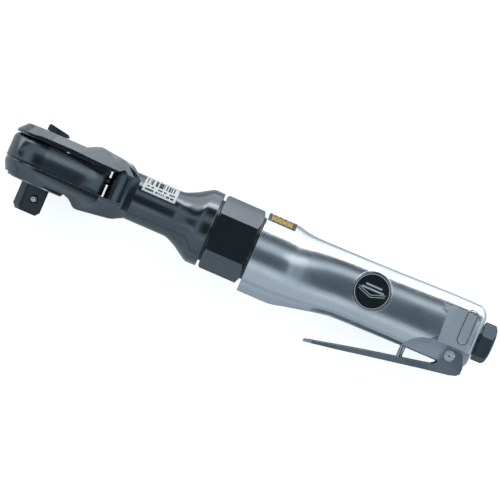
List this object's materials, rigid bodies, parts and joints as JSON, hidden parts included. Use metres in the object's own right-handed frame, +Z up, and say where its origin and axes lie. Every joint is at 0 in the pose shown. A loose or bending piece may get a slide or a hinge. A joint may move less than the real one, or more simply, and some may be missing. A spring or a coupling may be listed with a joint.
{
  "type": "air ratchet",
  "caption": "Pneumatic ratchet wrench with a square drive under a forked head, a hexagon coupling, a metal grip and a hinged throttle lever.",
  "frame": {"origin": "where the axis of the square drive crosses the centreline of the tool; the tool lies on its side", "axes": "+X along the tool from the drive to the air inlet; +Y towards the reverse knob, so the square drive and the lever point to -Y; +Z up, out of the side with the badge"},
  "size_m": [0.2765, 0.0555, 0.0416],
  "materials": {
    "black_enamel": "glossy black enamel",
    "black_oxide": "satin black oxide",
    "cast_aluminium": "polished cast aluminium",
    "zinc_steel": "zinc-plated pressed steel",
    "bright_steel": "bright plated",
    "machined_steel": "machined",
    "polished_ball": "polished",
    "bronze": "sintered bronze",
    "rubber": "matte",
    "blade_resin": "matte",
    "dark_plating": "dark plated",
    "badge_black": "glossy",
    "white_label": "satin film",
    "yellow_label": "satin film"
  },
  "bodies": {
    "tool": {"badge": "badge_black", "barcode_label": "white_label", "coupling_nut": "black_enamel", "coupling_ring_front": "black_oxide", "coupling_ring_rear": "black_oxide", "crank_bushing_front": "bronze", "crank_bushing_rear": "bronze", "dowel_pin": "machined_steel", "exhaust_muffler_a": "bronze", "exhaust_muffler_b": "bronze", "front_bearing_balls": "polished_ball", "front_bearing_outer_ring": "machined_steel", "handle_housing": "cast_aluminium", "inlet_bushing": "dark_plating", "inlet_screen": "bronze", "lever_nut": "bright_steel", "lever_screw": "bright_steel", "motor_cylinder": "machined_steel", "motor_front_plate": "machined_steel", "motor_gasket": "rubber", "motor_rear_plate": "machined_steel", "ratchet_head": "black_enamel", "rear_bearing_balls": "polished_ball", "rear_bearing_outer_ring": "machined_steel", "retaining_ring": "bright_steel", "ring_gear": "machined_steel", "spec_label": "yellow_label", "stem_o_ring": "rubber", "thrust_washer": "black_oxide", "valve_bushing": "bronze", "valve_seat": "bronze"},
    "rotor": {"rotor": "machined_steel", "front_bearing_inner_ring": "machined_steel", "rear_bearing_inner_ring": "machined_steel", "rotor_blade_1": "blade_resin", "rotor_blade_2": "blade_resin", "rotor_blade_3": "blade_resin", "rotor_blade_4": "blade_resin", "rotor_blade_5": "blade_resin"},
    "crank": {"crankshaft": "machined_steel", "drive_bushing": "bronze", "planet_pin_1": "machined_steel", "planet_pin_2": "machined_steel", "planet_pin_3": "machined_steel"},
    "planet_1": {"planet_gear_1": "machined_steel"},
    "planet_2": {"planet_gear_2": "machined_steel"},
    "planet_3": {"planet_gear_3": "machined_steel"},
    "yoke": {"yoke": "black_oxide"},
    "anvil": {"drive_anvil": "black_oxide", "detent_spring": "bright_steel", "pawl_pin_a": "machined_steel", "pawl_pin_b": "machined_steel"},
    "detent": {"detent_ball": "polished_ball"},
    "pawl_a": {"pawl_a": "machined_steel"},
    "pawl_b": {"pawl_b": "machined_steel"},
    "reverse": {"reverse_knob": "black_oxide"},
    "lever": {"throttle_lever": "zinc_steel"},
    "valve": {"valve_stem": "bright_steel", "valve_spring": "bright_steel"}
  },
  "joints": [
    {"name": "rotor_spin", "type": "hinge", "parent": "tool", "child": "rotor", "pos_m": [0.135, 0, 0], "axis": [1, 0, 0], "continuous": true},
    {"name": "crank_spin", "type": "hinge", "parent": "tool", "child": "crank", "pos_m": [0.06, 0, 0], "axis": [1, 0, 0], "continuous": true},
    {"name": "planet_1_spin", "type": "hinge", "parent": "crank", "child": "planet_1", "pos_m": [0.0915, 0.0081, 0], "axis": [1, 0, 0], "continuous": true},
    {"name": "planet_2_spin", "type": "hinge", "parent": "crank", "child": "planet_2", "pos_m": [0.0915, -0.00405, -0.00701], "axis": [1, 0, 0], "continuous": true},
    {"name": "planet_3_spin", "type": "hinge", "parent": "crank", "child": "planet_3", "pos_m": [0.0915, -0.00405, 0.00701], "axis": [1, 0, 0], "continuous": true},
    {"name": "yoke_swing", "type": "hinge", "parent": "tool", "child": "yoke", "pos_m": [0, 0, 0], "axis": [0, 1, 0], "range_deg": [-3.7, 3.7]},
    {"name": "anvil_spin", "type": "hinge", "parent": "tool", "child": "anvil", "pos_m": [0, 0, 0], "axis": [0, 1, 0], "continuous": true},
    {"name": "detent_press", "type": "slide", "parent": "anvil", "child": "detent", "axis": [-0.3681, 0, -0.9298], "range_m": [0, 0.0009], "stiffness_N_per_m": 2000, "springref_m": -0.0005, "deforming": ["detent_spring"]},
    {"name": "reverse_turn", "type": "hinge", "parent": "anvil", "child": "reverse", "pos_m": [0, 0.015, 0], "axis": [0, 1, 0], "range_deg": [0, 50]},
    {"name": "pawl_a_rock", "type": "hinge", "parent": "anvil", "child": "pawl_a", "pos_m": [0, 0, -0.0092], "axis": [0, 1, 0], "range_deg": [0, 10]},
    {"name": "pawl_b_rock", "type": "hinge", "parent": "anvil", "child": "pawl_b", "pos_m": [0, 0, 0.0092], "axis": [0, 1, 0], "range_deg": [0, 10]},
    {"name": "lever_press", "type": "hinge", "parent": "tool", "child": "lever", "pos_m": [0.2361, -0.0108, 0], "axis": [0, 0, -1], "range_deg": [0, 10.5], "stiffness_Nm_per_rad": 1.5, "springref_deg": -5.73},
    {"name": "valve_slide", "type": "slide", "parent": "tool", "child": "valve", "axis": [0, 1, 0], "range_m": [0, 0.0047], "deforming": ["valve_spring"]}
  ],
  "couplings": [
    {"joint": "crank_spin", "follows": "rotor_spin", "ratio": 0.22222},
    {"joint": "planet_1_spin", "follows": "rotor_spin", "ratio": -0.62222},
    {"joint": "planet_2_spin", "follows": "rotor_spin", "ratio": -0.62222},
    {"joint": "planet_3_spin", "follows": "rotor_spin", "ratio": -0.62222},
    {"joint": "pawl_a_rock", "follows": "reverse_turn", "ratio": 0.2},
    {"joint": "pawl_b_rock", "follows": "reverse_turn", "ratio": 0.2},
    {"joint": "valve_slide", "follows": "lever_press", "m_per_rad": 0.0252}
  ]
}
